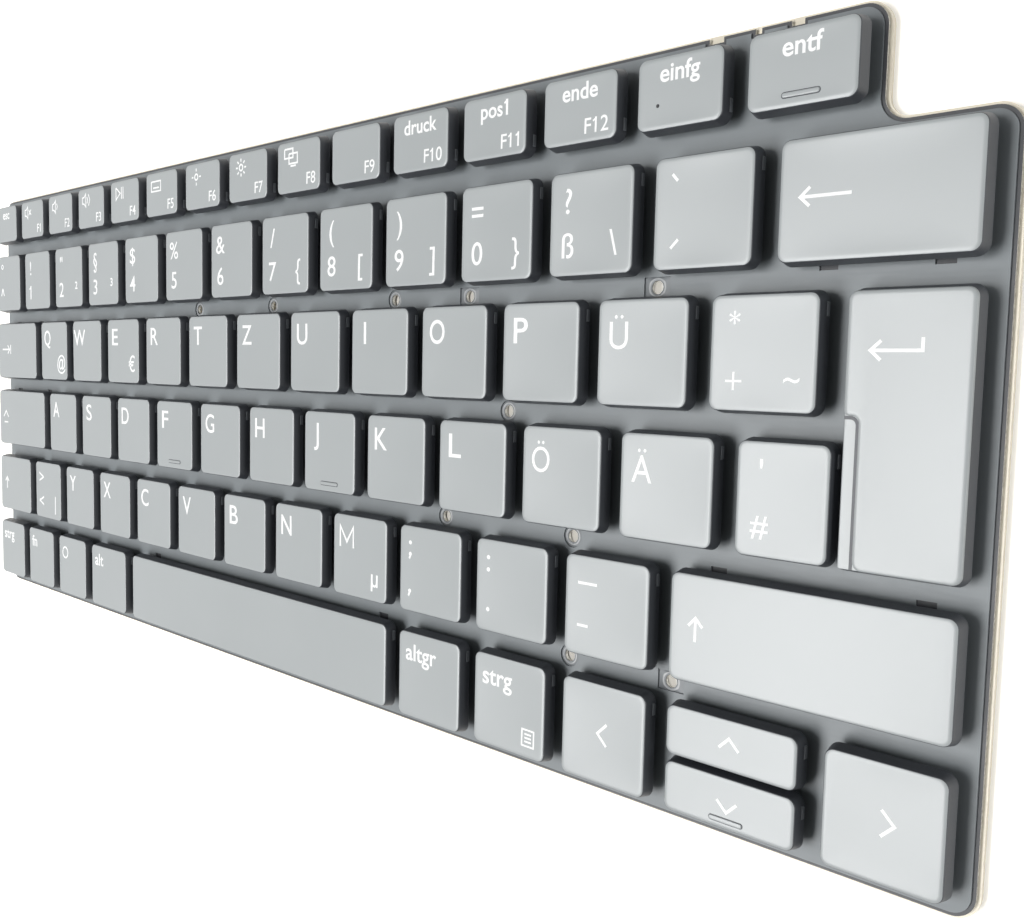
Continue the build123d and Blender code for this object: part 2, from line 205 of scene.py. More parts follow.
TOPS = key_tops()
SKIRT_Z = box_mm("key_q")[0][2]
TOP_Z = box_mm("key_q")[1][2]
ROOF_Z = TOP_Z - CAP_ROOF
DECK_Z = box_mm("membrane_film")[1][2]
PLATE_TOP_Z = box_mm("membrane_film")[0][2]


# Shapes


def grid_faces(rings, count):
    """Quads between neighbouring closed rings, whose last point meets the first."""
    start = np.arange(rings - 1)[:, None] * count
    here = np.arange(count)[None, :]
    there = (here + 1) % count
    quads = np.stack([start + here, start + there, start + count + there, start + count + here], axis=-1)
    return quads.reshape(-1, 4).tolist()


def closed_rings(points, finish_of_ring, end_finishes=(0, 0)):
    """A stack of closed rings as one solid: quads between the rings and a flat face on each end.

    points has the shape (rings, points in a ring, 3)."""
    rings, count = points.shape[:2]
    faces = grid_faces(rings, count)
    finishes = np.repeat(np.asarray(finish_of_ring), count).tolist()
    faces.append(list(range(count))[::-1])
    faces.append(list(range((rings - 1) * count, rings * count)))
    return points.reshape(-1, 3), faces, finishes + list(end_finishes)


def rounded_outline(corners, radii, steps=CORNER_STEPS):
    """Points and outward normals of a closed outline with each corner replaced by a quarter circle.

    With u the direction that runs into a corner and n its left normal, the arc's centre is the corner
    less u times r plus n times r (minus at a hollow corner), and its points are the centre plus r times
    (-n cos t + u sin t), t from 0 to a right angle."""
    corners = np.asarray(corners, float)
    radii = np.asarray(radii, float)[:, None]
    into = corners - np.roll(corners, 1, axis=0)
    into /= np.linalg.norm(into, axis=1, keepdims=True)
    out = np.roll(into, -1, axis=0)
    left = np.stack([-into[:, 1], into[:, 0]], axis=1)
    turn = np.sign((left * out).sum(axis=1))[:, None]
    centres = corners - into * radii + turn * left * radii
    angle = np.linspace(0, math.pi / 2, steps)
    cosine, sine = np.cos(angle)[None, :, None], np.sin(angle)[None, :, None]
    side, ahead, sign = left[:, None], into[:, None], turn[:, None]
    points = centres[:, None] + radii[:, None] * (-sign * side * cosine + ahead * sine)
    normals = -side * cosine + sign * ahead * sine
    return points.reshape(-1, 2), normals.reshape(-1, 2)


def divided(outline):
    """An outline with more points on its straight runs: each run is cut evenly into pieces no longer than
    the spacing."""
    points, normals = outline
    pieces = np.ceil(np.linalg.norm(np.roll(points, -1, axis=0) - points, axis=1) / RUN_SPACING).astype(int)
    here = np.repeat(np.arange(len(points)), pieces)
    ahead = (here + 1) % len(points)
    share = ((np.arange(len(here)) - np.repeat(np.cumsum(pieces) - pieces, pieces)) / pieces[here])[:, None]
    return (points[here] * (1 - share) + points[ahead] * share,
            normals[here] * (1 - share) + normals[ahead] * share)


def rectangle(left, front, right, rear):
    """Corners of a rectangle, anticlockwise from its front left."""
    return [(left, front), (right, front), (right, rear), (left, rear)]


def carried(outline, profile):
    """A profile of (offset, level) pairs carried round an outline: each ring is the outline moved out by
    the offset along its normals."""
    points, normals = outline
    offset, level = np.asarray(profile, float).T
    plan = points[None] + normals[None] * offset[:, None, None]
    height = np.broadcast_to(level[:, None, None], (*plan.shape[:2], 1))
    return np.concatenate([plan, height], axis=2)


def edge_arc(offset, top, radius):
    """Profile of an upper edge from the wall to the flat top: a tight arc that leaves the wall, then a wide
    one, the shoulder, tangent to it and to the top.

    With t the tilt of the surface, a point of an arc is its centre plus its radius times (sin t, cos t)."""
    tight = np.linspace(math.pi / 2, SHOULDER_TILT, EDGE_STEPS)
    wide = np.linspace(SHOULDER_TILT, 0, EDGE_STEPS)[1:]
    shoulder = radius * SHOULDER_SHARE
    step = shoulder - radius
    centre = (offset - radius, top - shoulder + step * math.cos(SHOULDER_TILT))
    far = (centre[0] - step * math.sin(SHOULDER_TILT), top - shoulder)
    return ([(centre[0] + radius * math.sin(t), centre[1] + radius * math.cos(t)) for t in tight]
            + [(far[0] + shoulder * math.sin(t), far[1] + shoulder * math.cos(t)) for t in wide])


def edge_drop(radius):
    """How far below the top an edge profile meets the wall."""
    return radius * (SHOULDER_SHARE - (SHOULDER_SHARE - 1) * math.cos(SHOULDER_TILT))


def filled(rings, centre):
    """Rings carried on over the top: the last ring shrunk towards a centre by each share in turn."""
    middle = np.array((*centre, rings[-1, 0, 2]))
    return np.concatenate([rings, middle + np.array(TOP_SHARES)[:, None, None] * (rings[-1] - middle)])


def hollow_cap(outline, centre, top, edge):
    """Cap shell: from the roof's underside down the inner wall, out round the skirt, up the drafted outer
    wall and over the rounded edge to the top. The top's light grey is a painted sheen and ends part of the
    way down the edge; below it the cap keeps its dark wall colour."""
    draft = SKIRT_FLARE * (top - ROOF_Z) / (top - SKIRT_Z)
    wall_top = SKIRT_FLARE * edge_drop(edge) / (top - SKIRT_Z)
    profile = [(draft - CAP_WALL, ROOF_Z), (SKIRT_FLARE - CAP_WALL, SKIRT_Z + SKIRT_LIP),
               (SKIRT_FLARE - CAP_WALL + SKIRT_BREAK, SKIRT_Z), (SKIRT_FLARE - SKIRT_BREAK, SKIRT_Z),
               (SKIRT_FLARE, SKIRT_Z + SKIRT_BREAK)]
    # Rings up to here keep the wall's dark colour; the rest carry the painted sheen.
    bare = len(profile) + DARK_EDGE_STEPS
    profile += edge_arc(wall_top, top, edge)
    rings = filled(carried(divided(outline), profile), centre)
    return closed_rings(rings, [1] * bare + [0] * (len(rings) - 1 - bare), (1, 0))


def raised_block(outline, centre, low, high, edge):
    """Solid block with upright walls and a rounded upper edge."""
    rings = filled(carried(divided(outline), [(0.0, low)] + edge_arc(0.0, high, edge)), centre)
    return closed_rings(rings, [0] * (len(rings) - 1))


def dished(name, shells):
    """Lowers what lies on a cap's top by depth (1 - u^2)(1 - v^4), u and v running from -1 to 1 across the
    top, and by nothing outside it. A cap that is short from front to rear has a shallower hollow."""
    left, front, right, rear = TOPS[name]
    left += LEDGE_W if name == "enter" else 0.0
    deepest = DISH_DEPTH * min(1.0, (rear - front) / DISH_FULL_AT) ** 2
    lowered = []
    for points, faces, finishes in shells:
        u = (2 * points[:, 0] - left - right) / (right - left)
        v = (2 * points[:, 1] - front - rear) / (rear - front)
        depth = deepest * np.maximum(1 - u ** 2, 0) * np.maximum(1 - v ** 4, 0)
        on_top = points[:, 2] > TOP_Z - edge_drop(CAP_EDGE_R) - 0.01
        lowered.append((points - (depth * on_top)[:, None] * np.array((0, 0, 1.0)), faces, finishes))
    return lowered


def gate_mark(right, middle):
    """Trimmed moulding gate on a cap's right wall: a low pad with sloped sides, wider at the wall."""
    low = SKIRT_Z + GATE_LIFT
    slope = SKIRT_FLARE / (TOP_Z - SKIRT_Z)
    level = np.array([low, low + GATE_H])
    wall_x = right + slope * (TOP_Z - level)
    share = np.array([1.0, GATE_NARROWING])
    reach = np.array([-GATE_SUNK, GATE_PROUD])
    y = np.array([[-1, 1, 1, -1]]) * GATE_L / 2 * share[:, None] + middle
    x = np.array([[wall_x[0], wall_x[0], wall_x[1], wall_x[1]]]) + reach[:, None]
    z = np.array([[level[0], level[0], level[1], level[1]]]) + np.zeros((2, 1))
    return closed_rings(np.stack([x, y, z], axis=2), [2], (2, 2))


def groove(line, width, level, closed=False):
    """Painted shade of a groove where two surfaces meet: a thin flat ribbon on the lower one, in the wall's
    dark finish, standing in for the shade in the gap.
    """
    points, faces, _ = stroke(line, width, level - GROOVE_SUNK, level + GROOVE_PROUD, closed)
    return points, faces, [1] * len(faces)


def cap(name):
    """Shells of one cap: its hollow body, the enter key's raised face and the painted shade of the groove
    beside it, a touch bar with a painted shadow gap round it, and the gate mark."""
    left, front, right, rear = TOPS[name]
    centre = ((left + right) / 2, (front + rear) / 2)
    corner_radii = [CAP_CORNER_R] * 4
    if name == "enter":
        corner_radii[0] = LEDGE_FRONT_R
        plan = rounded_outline(rectangle(left, front, right, rear), corner_radii)
        step_x, step_y = left + LEDGE_W, rear - REAR_PART_D
        corners = [(step_x, front), (right, front), (right, rear), (left, rear), (left, step_y),
                   (step_x, step_y)]
        face = rounded_outline(corners, [CAP_CORNER_R] * 4 + [LEDGE_REAR_R, LEDGE_R])
        ledge_z = TOP_Z - LEDGE_DROP
        in_face = ((step_x + right) / 2, step_y + REAR_PART_D / 4)
        turn = np.linspace(0, math.pi / 2, CORNER_STEPS)
        inset = LEDGE_R + GROOVE_SHADE_W / 2
        bend = np.column_stack([step_x - inset + LEDGE_R * np.cos(turn),
                                step_y - inset + LEDGE_R * np.sin(turn)])
        line = np.concatenate([[(bend[0, 0], front)], bend, [(left, bend[-1, 1])]])
        # The dark ribbon beside the raised face is painted shade standing in for the step's groove.
        shells = [hollow_cap(plan, centre, ledge_z, LEDGE_EDGE_R),
                  raised_block(face, in_face, ledge_z - FACE_SUNK, TOP_Z, CAP_EDGE_R),
                  groove(line, GROOVE_SHADE_W, ledge_z)]
    else:
        plan = rounded_outline(rectangle(left, front, right, rear), corner_radii)
        shells = [hollow_cap(plan, centre, TOP_Z, CAP_EDGE_R)]
    if name in BAR_SETBACKS:
        x, y = centre[0], front + BAR_SETBACKS[name]
        sides = rectangle(x - BAR_W / 2, y - BAR_D / 2, x + BAR_W / 2, y + BAR_D / 2)
        bar = rounded_outline(sides, [BAR_D * BAR_END_SHARE] * 4)
        shells.append(raised_block(bar, (x, y), TOP_Z - BAR_SUNK, TOP_Z + BAR_H, BAR_EDGE_R))
        # A dark ribbon round the bar is a painted shadow gap.
        shells.append(groove(bar[0] + bar[1] * BAR_GROOVE_SHADE_W / 2, BAR_GROOVE_SHADE_W, TOP_Z, True))
    gate_y = front + GATE_SETBACK if name in FUNCTION_KEYS else rear - GATE_SETBACK
    gates = [] if name in GATELESS_KEYS else [gate_mark(right, gate_y)]
    return dished(name, shells) + gates


def stroke(points, width, low, high, closed=False):
    """Flat ribbon along a line, mitred at its bends: each point is moved both ways along the bend's
    bisector by half the width over the cosine of half the bend."""
    line = np.asarray(points, float)
    step = np.diff(line, axis=0, append=line[:1] if closed else 2 * line[-1:] - line[-2:-1])
    step /= np.linalg.norm(step, axis=1, keepdims=True)
    before = np.roll(step, 1, axis=0)
    if not closed:
        before[0] = step[0]
    normal = np.stack([-step[:, 1], step[:, 0]], axis=1) + np.stack([-before[:, 1], before[:, 0]], axis=1)
    normal /= np.linalg.norm(normal, axis=1, keepdims=True)
    cosine = np.abs(normal[:, 0] * -step[:, 1] + normal[:, 1] * step[:, 0])[:, None]
    reach = normal * width / 2 / np.maximum(cosine, MITRE_LIMIT)
    sides = [np.column_stack([line + sign * reach, np.full(len(line), level)])
             for sign, level in ((1, high), (-1, high), (-1, low), (1, low))]
    rings = np.stack(sides, axis=1)[::-1]
    if closed:
        rings = np.concatenate([rings, rings[:1]])
        faces = grid_faces(len(rings), 4)
        return rings.reshape(-1, 3), faces, [0] * len(faces)
    return closed_rings(rings, [0] * (len(line) - 1), (0, 0))


def disc(x, y, radius, low, high, finish=0, count=20):
    """Round flat mark: a circle carried from one level to the other."""
    angle = np.arange(count) * 2 * math.pi / count
    ring = np.column_stack([x + radius * np.cos(angle), y + radius * np.sin(angle)])
    points = np.stack([np.column_stack([ring, np.full(count, level)]) for level in (low, high)])
    return closed_rings(points, [finish], (finish, finish))


# Print


def letters(text, weight=0.0):
    """Printed text on its baseline from x = 0, one cap height tall: Blender's own letters, one unit thick,
    with weight added all round their outline."""
    curve = bpy.data.curves.new("lettering", "FONT")
    curve.body = text
    curve.extrude = 0.5
    curve.offset = weight
    curve.resolution_u = 5
    carrier = bpy.data.objects.new("lettering", curve)
    bpy.context.scene.collection.objects.link(carrier)
    mesh = bpy.data.meshes.new_from_object(carrier.evaluated_get(bpy.context.evaluated_depsgraph_get()))
    shape = bmesh.new()
    shape.from_mesh(mesh)
    bmesh.ops.remove_doubles(shape, verts=shape.verts, dist=1e-4)
    shape.verts.index_update()
    points = np.array([vert.co for vert in shape.verts])
    faces = [[vert.index for vert in face.verts] for face in shape.faces]
    shape.free()
    bpy.data.objects.remove(carrier)
    bpy.data.curves.remove(curve)
    bpy.data.meshes.remove(mesh)
    return points, faces


CAP_SHARE = np.ptp(letters("H")[0][:, 1])
PRINT_LOW = TOP_Z - PRINT_SUNK
PRINT_HIGH = TOP_Z + PRINT_T


def printed(text, x, y, height, weight=LETTER_WEIGHT, align="middle", width=None):
    """Text at a cap height, with its left or right end, or its middle, at x and its baseline at y.

    With a usual width, the text is drawn part of the way to it: its width times (usual / own) to the
    power 0.6. Each figure 1 gets a short flag at its top."""
    scale = height / CAP_SHARE
    points, faces = letters(text, weight / scale)
    plan = points[:, :2] * scale
    own = np.ptp(plan[:, 0])
    stretch = (width / own) ** 0.6 if width else 1.0
    low, high = plan[:, 0].min() * stretch, plan[:, 0].max() * stretch
    shift = x - {"left": low, "right": high, "middle": (low + high) / 2}[align]
    plan = plan * (stretch, 1.0) + (shift, y)
    level = np.where(points[:, 2] > 0, PRINT_HIGH, PRINT_LOW)
    marks = [(np.column_stack([plan, level]), faces, [0] * len(faces))]
    for place, sign in enumerate(text):
        if sign == "1":
            end = letters(text[:place + 1], weight / scale)[0][:, 0].max() * scale + shift
            half = FLAG_STEM * height + weight
            tip = np.array((end - half, y + height + weight - FLAG_DROP * height))
            flag = [tip, tip - np.array(FLAG_REACH) * height]
            marks.append(stroke(flag, 2 * half * FLAG_THINNING, PRINT_LOW, PRINT_HIGH - 0.003))
    return marks


LETTER_KEYS = {"ue": "Ü", "oe": "Ö", "ae": "Ä"}
LETTER_KEYS.update({letter: letter.upper() for letter in "qwertzuiopasdfghjklyxcvbn"})
THIRD_SIGNS = {"q": "@", "e": "€", "m": "µ"}
# Upper, lower and third sign of the keys that carry more than one
SIGN_KEYS = {
    "caret": ("°", "^", ""), "digit_1": ("!", "1", ""), "digit_2": ('"', "2", "²"),
    "digit_3": ("§", "3", "³"), "digit_4": ("$", "4", ""), "digit_5": ("%", "5", ""),
    "digit_6": ("&", "6", ""), "digit_7": ("/", "7", "{"), "digit_8": ("(", "8", "["),
    "digit_9": (")", "9", "]"), "digit_0": ("=", "0", "}"), "sharp_s": ("?", "ß", "\\"),
    "plus": ("*", "", "~"), "hash": ("'", "#", ""), "less": (">", "<", "|"),
}
# Signs that are drawn smaller than a figure, and how far they are raised for it
SIGN_SHARES = {"*": (0.75, 1.0), "~": (0.78, 0.35), "#": (0.82, 0.0), "'": (0.9, 0.2), "µ": (0.95, 0.0)}
WORD_KEYS = {"esc": "esc", "f10": "druck", "f11": "pos1", "f12": "ende", "insert": "einfg", "delete": "entf",
             "left_ctrl": "strg", "fn": "fn", "alt": "alt", "alt_gr": "altgr", "right_ctrl": "strg"}
# Line marks in millimetres from the cap's rear left corner
LINE_KEYS = {
    "backspace": [[(4.0, -5.95), (2.75, -7.1), (4.0, -8.25)], [(9.3, -7.1), (3.0, -7.1)]],
    "enter": [[(4.2, -5.95), (2.95, -7.1), (4.2, -8.25)], [(9.05, -5.6), (9.05, -7.1), (3.2, -7.1)]],
    "right_shift": [[(2.95, -7.1), (4.05, -5.9), (5.15, -7.1)], [(4.05, -9.2), (4.05, -6.2)]],
    "left_shift": [[(2.95, -7.1), (4.05, -5.9), (5.15, -7.1)], [(4.05, -9.2), (4.05, -6.2)]],
    "tab": [[(6.0, -5.95), (7.2, -7.1), (6.0, -8.25)], [(2.6, -7.1), (6.9, -7.1)],
            [(7.9, -5.8), (7.9, -8.4)]],
    "caps_lock": [[(2.6, -7.4), (4.2, -5.7), (5.8, -7.4)], [(3.0, -8.9), (5.4, -8.9)]],
    "arrow_left": [[(8.25, -5.8), (6.6, -7.45), (8.25, -9.1)]],
    "arrow_right": [[(7.4, -5.75), (9.05, -7.4), (7.4, -9.05)]],
    "arrow_up": [[(8.35, -4.0), (9.85, -2.5), (11.35, -4.0)]],
    "arrow_down": [[(8.35, -3.2), (9.85, -4.7), (11.35, -3.2)]],
    "acute": [[(2.7, -2.2), (3.55, -3.15)], [(2.7, -12.1), (3.85, -10.95)]],
    "minus": [[(2.3, -4.1), (5.8, -4.1)], [(2.3, -10.5), (4.3, -10.5)]],
    "plus": [[(2.3, -11.1), (4.7, -11.1)], [(3.5, -9.9), (3.5, -12.3)]],
    "m": [[(1.9, -6.05), (1.9, -2.2), (3.75, -5.0), (5.6, -2.2), (5.6, -6.05)]],
}
DOT_R = 0.36
# Dots from the cap's rear left corner, and the tails of comma and semicolon
DOT_KEYS = {"comma": [(2.55, -2.9), (2.55, -4.9), (2.5, -11.4)],
            "period": [(2.55, -2.9), (2.55, -4.9), (2.6, -11.4)]}
TAILS = {"comma": [[(2.65, -4.9), (2.3, -5.75)], [(2.6, -11.4), (2.2, -12.3)]]}
# Middle and radius of the meta key's ring and of the insert key's indicator
META_RING = (3.4, -4.2, 1.4)
INDICATOR = (3.3, -6.4, 0.26)
MENU_FRAME = [(10.5, -10.5), (13.0, -10.5), (13.0, -13.1), (10.5, -13.1)]
MENU_LINES = [[(11.05, -y), (12.45, -y)] for y in (11.2, 11.8, 12.4)]
SPEAKER = [[(0.0, 0.5), (0.5, 0.5), (1.1, 1.0), (1.1, -1.0), (0.5, -0.5), (0.0, -0.5), (0.0, 0.5)]]
WAVE = [[(1.5, 0.5), (1.75, 0.0), (1.5, -0.5)]]
FAR_WAVE = [[(2.0, 0.9), (2.45, 0.0), (2.0, -0.9)]]
CROSS = [[(1.5, 0.45), (2.4, -0.45)], [(1.5, -0.45), (2.4, 0.45)]]
RAYS = [[(1.3 + 0.75 * math.cos(a), 0.75 * math.sin(a)), (1.3 + 1.15 * math.cos(a), 1.15 * math.sin(a))]
        for a in np.arange(8) * math.pi / 4]
SUN_DISC = [[(1.3 + 0.4 * math.cos(a), 0.4 * math.sin(a)) for a in np.arange(13) * math.pi / 6]]
PLAY_PAUSE = [[(0.2, 0.9), (1.5, 0.0), (0.2, -0.9), (0.2, 0.9)], [(1.9, 0.9), (1.9, -0.9)],
              [(2.4, 0.9), (2.4, -0.9)]]
SCREENS = [[(0.0, 1.0), (1.7, 1.0), (1.7, -0.1), (0.0, -0.1), (0.0, 1.0)],
           [(0.9, 0.4), (2.6, 0.4), (2.6, -0.8), (0.9, -0.8), (0.9, 0.4)], [(1.2, -1.1), (2.3, -1.1)]]
SMALL_KEYBOARD = [[(0.0, 0.6), (2.6, 0.6), (2.6, -0.8), (0.0, -0.8), (0.0, 0.6)], [(0.5, -0.3), (2.1, -0.3)]]
# Icons drawn from their left middle, in units of ICON_SCALE millimetres
ICON_SCALE = 1.55
ICON_PLACE = (2.3, -2.8)
ICON_KEYS = {"f1": SPEAKER + CROSS, "f2": SPEAKER + WAVE, "f3": SPEAKER + WAVE + FAR_WAVE, "f4": PLAY_PAUSE,
             "f5": SMALL_KEYBOARD, "f6": SUN_DISC + RAYS[::2], "f7": SUN_DISC + RAYS, "f8": SCREENS}
FREE_WIDTH_LETTERS = ("i", "j", "w")


def sign_mark(sign, x, y):
    """One sign of a key at its own size, with its middle at x and its baseline at y."""
    share, rise = SIGN_SHARES.get(sign, (1.0, 0.0))
    return printed(sign, x, y + rise, SIGN_H * share, SIGN_WEIGHT) if sign else []


def text_marks(name):
    """Letters, signs, words and numbers of one cap."""
    left, front, right, rear = TOPS[name]
    middle = (left + right) / 2
    marks = []
    if name in ("ue", "oe", "ae"):
        place = (left + LETTER_COLUMN, rear - UMLAUT_BASELINE)
        marks += printed(LETTER_KEYS[name], *place, LETTER_H, 0.0, width=LETTER_W)
    elif name in LETTER_KEYS:
        width = None if name in FREE_WIDTH_LETTERS else LETTER_W
        place = (left + LETTER_COLUMN, rear - UPPER_BASELINE)
        marks += printed(LETTER_KEYS[name], *place, LETTER_H, width=width)
    upper, lower, third = SIGN_KEYS.get(name, ("", "", THIRD_SIGNS.get(name, "")))
    marks += sign_mark(upper, left + LEFT_COLUMN, rear - SIGN_BASELINE)
    marks += sign_mark(lower, left + LEFT_COLUMN, front + LOWER_BASELINE)
    marks += sign_mark(third, right - RIGHT_COLUMN, front + LOWER_BASELINE)
    if name in WORD_KEYS and name in FUNCTION_KEYS + ["delete"]:
        marks += printed(WORD_KEYS[name], middle, rear - SMALL_WORD_BASELINE, SMALL_WORD_H, WORD_WEIGHT)
    elif name in WORD_KEYS:
        place = (left + WORD_MARGIN, rear - WORD_BASELINE)
        marks += printed(WORD_KEYS[name], *place, WORD_H, WORD_WEIGHT, "left")
    if name in FUNCTION_KEYS[1:13]:
        place = (right - NUMBER_MARGIN, front + NUMBER_BASELINE)
        marks += printed(name.upper(), *place, NUMBER_H, NUMBER_WEIGHT, "right")
    return marks


def line_marks(name):
    """Arrows, dashes, dots and icons of one cap. Each line lies a little lower than the one before it, so
    that crossing lines don't share a plane."""
    left, front, right, rear = TOPS[name]
    corner = np.array((left, rear))
    width = THIN_STROKE_W if name == "plus" else STROKE_W
    lines = [(np.array(line), width) for line in LINE_KEYS.get(name, []) + TAILS.get(name, [])]
    lines += [(np.array(line) * ICON_SCALE + ICON_PLACE, ICON_STROKE_W) for line in ICON_KEYS.get(name, [])]
    rings = []
    if name == "right_ctrl":
        lines += [(np.array(line), THIN_STROKE_W) for line in MENU_LINES]
        rings.append((np.array(MENU_FRAME), THIN_STROKE_W))
    if name == "meta":
        angle = np.arange(24) * math.pi / 12
        x, y, radius = META_RING
        rings.append((np.column_stack([x + radius * np.cos(angle), y + radius * np.sin(angle)]), STROKE_W))
    marks = [stroke(line + corner, width, PRINT_LOW, PRINT_HIGH - 0.001 * depth)
             for depth, (line, width) in enumerate(lines)]
    marks += [stroke(ring + corner, width, PRINT_LOW, PRINT_HIGH, True) for ring, width in rings]
    marks += [disc(left + x, rear + y, DOT_R, PRINT_LOW, PRINT_HIGH) for x, y in DOT_KEYS.get(name, [])]
    if name == "insert":
        x, y, radius = INDICATOR
        marks.append(disc(left + x, rear + y, radius, PRINT_LOW, PRINT_HIGH, 1))
    return marks


def cap_print(name):
    """Every printed mark of one cap, as shells."""
    return dished(name, text_marks(name) + line_marks(name))


# Mechanism


def dome(x, y, breadth):
    """Rubber dome turned about its axis: a flange, a leaning wall and a flat tip."""
    flange = min(DOME_R, link_span(breadth) - DOME_CLEAR)
    tip_z = ROOF_Z - DOME_TIP_GAP
    radius = np.array([flange, flange, flange - 0.35, flange - 0.45, flange * 0.62, flange * 0.56])
    level = np.array([DECK_Z, DECK_Z + 0.2, DECK_Z + 0.22, DECK_Z + 0.4, tip_z - 0.1, tip_z])
    angle = np.arange(20) * math.pi / 10
    plan_x = x + radius[:, None] * np.cos(angle)
    plan_y = y + radius[:, None] * np.sin(angle)
    height = np.broadcast_to(level[:, None], plan_x.shape)
    return closed_rings(np.stack([plan_x, plan_y, height], axis=2), [0] * 5, (0, 0))


def link_span(breadth):
    """Half the distance between the end bars of a link."""
    return min(LINK_HALF_SPAN, breadth / 2 - LINK_SURROUND)


def link(x, y, length, breadth, inner, turned):
    """One scissor link: a square section carried round a rectangle that tilts from the deck to the roof.

    The section's half diagonal points along the corner's bisector, so the corners are mitred."""
    half_w = min(LINK_W, length - LINK_END_MARGIN) / 2 - LINK_SECTION / 2
    half_w -= LINK_SECTION + LINK_CLEAR if inner else 0.0
    span = link_span(breadth)
    low, high = DECK_Z + LINK_CLEAR + LINK_HALF_DIAGONAL, ROOF_Z - LINK_CLEAR - LINK_HALF_DIAGONAL
    across = np.array([-1, 1, 1, -1.0])
    along = np.array([-1, -1, 1, 1.0])
    half = LINK_SECTION / 2
    rings = []
    for out, rise in ((-half, -half), (-half, half), (half, half), (half, -half)):
        px, py = across * (half_w + out), along * (span + out)
        pz = (low + high) / 2 + (high - low) / 2 * py / span * (-1 if inner else 1) + rise
        rings.append(np.column_stack([x + (py if turned else px), y + (-px if turned else py), pz]))
    points = np.stack(rings, axis=1)
    points = np.concatenate([points, points[:1]])
    faces = grid_faces(5, 4)
    return points.reshape(-1, 3), faces, [1] * len(faces)


def wire(x, y, length, breadth, side, turned):
    """Stabiliser wire: a hexagon carried along a bent path of a long bar, two rising arms and two feet."""
    half, bar_y = length / 2 - WIRE_INSET, side * (breadth / 2 - WIRE_FROM_EDGE)
    tip_y, foot = bar_y - side * WIRE_ARM, length / 2 - WIRE_INSET - WIRE_FOOT
    low, high = DECK_Z + LINK_CLEAR + WIRE_R, ROOF_Z - LINK_CLEAR - WIRE_R
    path = np.array([(-foot, tip_y, high), (-half, tip_y, high), (-half, bar_y, low), (half, bar_y, low),
                     (half, tip_y, high), (foot, tip_y, high)])
    step = np.diff(path, axis=0)
    step /= np.linalg.norm(step, axis=1, keepdims=True)
    before, after = np.vstack([step[:1], step]), np.vstack([step, step[-1:]])
    flat = np.cross(before + after, (0, 0, 1.0))
    flat /= np.linalg.norm(flat, axis=1, keepdims=True)
    widen = 1 / np.maximum(np.abs((np.cross(after, (0, 0, 1.0)) * flat).sum(axis=1)), 0.5)
    angle = np.arange(6) * math.pi / 3
    ring = (path[:, None] + WIRE_R * (flat * widen[:, None])[:, None] * np.cos(angle)[None, :, None]
            + WIRE_R * np.sin(angle)[None, :, None] * np.array((0, 0, 1.0)))
    if turned:
        ring = np.stack([ring[..., 1], -ring[..., 0], ring[..., 2]], axis=2)
    ring = ring + np.array((x, y, 0.0))
    return closed_rings(ring, [2] * 5, (2, 2))


def mechanism(name):
    """Dome, two links and, under a long key, the wire, in place under one cap."""
    left, front, right, rear = TOPS[name]
    x, y, width, depth = (left + right) / 2, (front + rear) / 2, right - left, rear - front
    turned = depth > width
    length, breadth = (depth, width) if turned else (width, depth)
    shells = [dome(x, y, breadth)] + [link(x, y, length, breadth, inner, turned) for inner in (False, True)]
    if length > STABILISER_FROM:
        shells.append(wire(x, y, length, breadth, -1 if name == "backspace" else 1, turned))
    return shells


def hole_collar(x, y, square):
    """Stamped collar round a screw hole: the opening's outline shrinks to the hole through a raised ring.

    Each ring is a blend of the opening's outline and a circle, (1 - t) outline + t circle."""
    count = COLLAR_POINTS
    angle = (np.arange(count) + 0.5) * 2 * math.pi / count
    circle = np.column_stack([np.cos(angle), np.sin(angle)])
    if square:
        half = np.array(WINDOW) / 2 - COLLAR_CLEAR
        outline = circle * np.min(half / np.maximum(np.abs(circle), 1e-6), axis=1, keepdims=True)
    else:
        outline = circle * (RECESS_R - COLLAR_CLEAR)
    blend = np.array([0.0, 0.0, 0.25, 0.85, 1.0, 1.0, 1.0])
    bore = HOLE_R + COLLAR_CLEAR
    radius = np.array([1.0, 1.0, 1.5, 1.32, 1.2, bore, bore])
    rise = np.array([0.0, 0.03, 0.05, 0.16, 0.18, 0.12, 0.0])
    rings = (1 - blend)[:, None, None] * outline + (blend * radius)[:, None, None] * circle
    height = np.broadcast_to(PLATE_TOP_Z + rise[:, None, None], (len(rise), count, 1))
    points = np.concatenate([rings + (x, y), height], axis=2)
    points = np.concatenate([points, points[:1]])
    faces = grid_faces(len(points), count)
    return points.reshape(-1, 3), faces, np.repeat([0, 0, 0, 1, 0, 0, 0], count).tolist()


# Materials


def linear(code):
    """An sRGB hex colour as linear red, green, blue and 1."""
    channel = np.array([int(code[i:i + 2], 16) for i in (1, 3, 5)]) / 255
    value = np.where(channel <= 0.04045, channel / 12.92, ((channel + 0.055) / 1.055) ** 2.4)
    return (*value.tolist(), 1.0)


def add(tree, kind, sockets=None, **settings):
    """Adds a node: settings are its own properties, sockets its inputs, each a value or an output to link."""
    made = tree.nodes.new(kind)
    for key, value in settings.items():
        setattr(made, key, value)
    for key, value in (sockets or {}).items():
        if isinstance(value, bpy.types.NodeSocket):
            tree.links.new(value, made.inputs[key])
        else:
            made.inputs[key].default_value = value
    return made


ROUGH_DRIFT = 0.06
BUMP_STRENGTH = 0.6
UPRIGHT_BELOW = 0.5


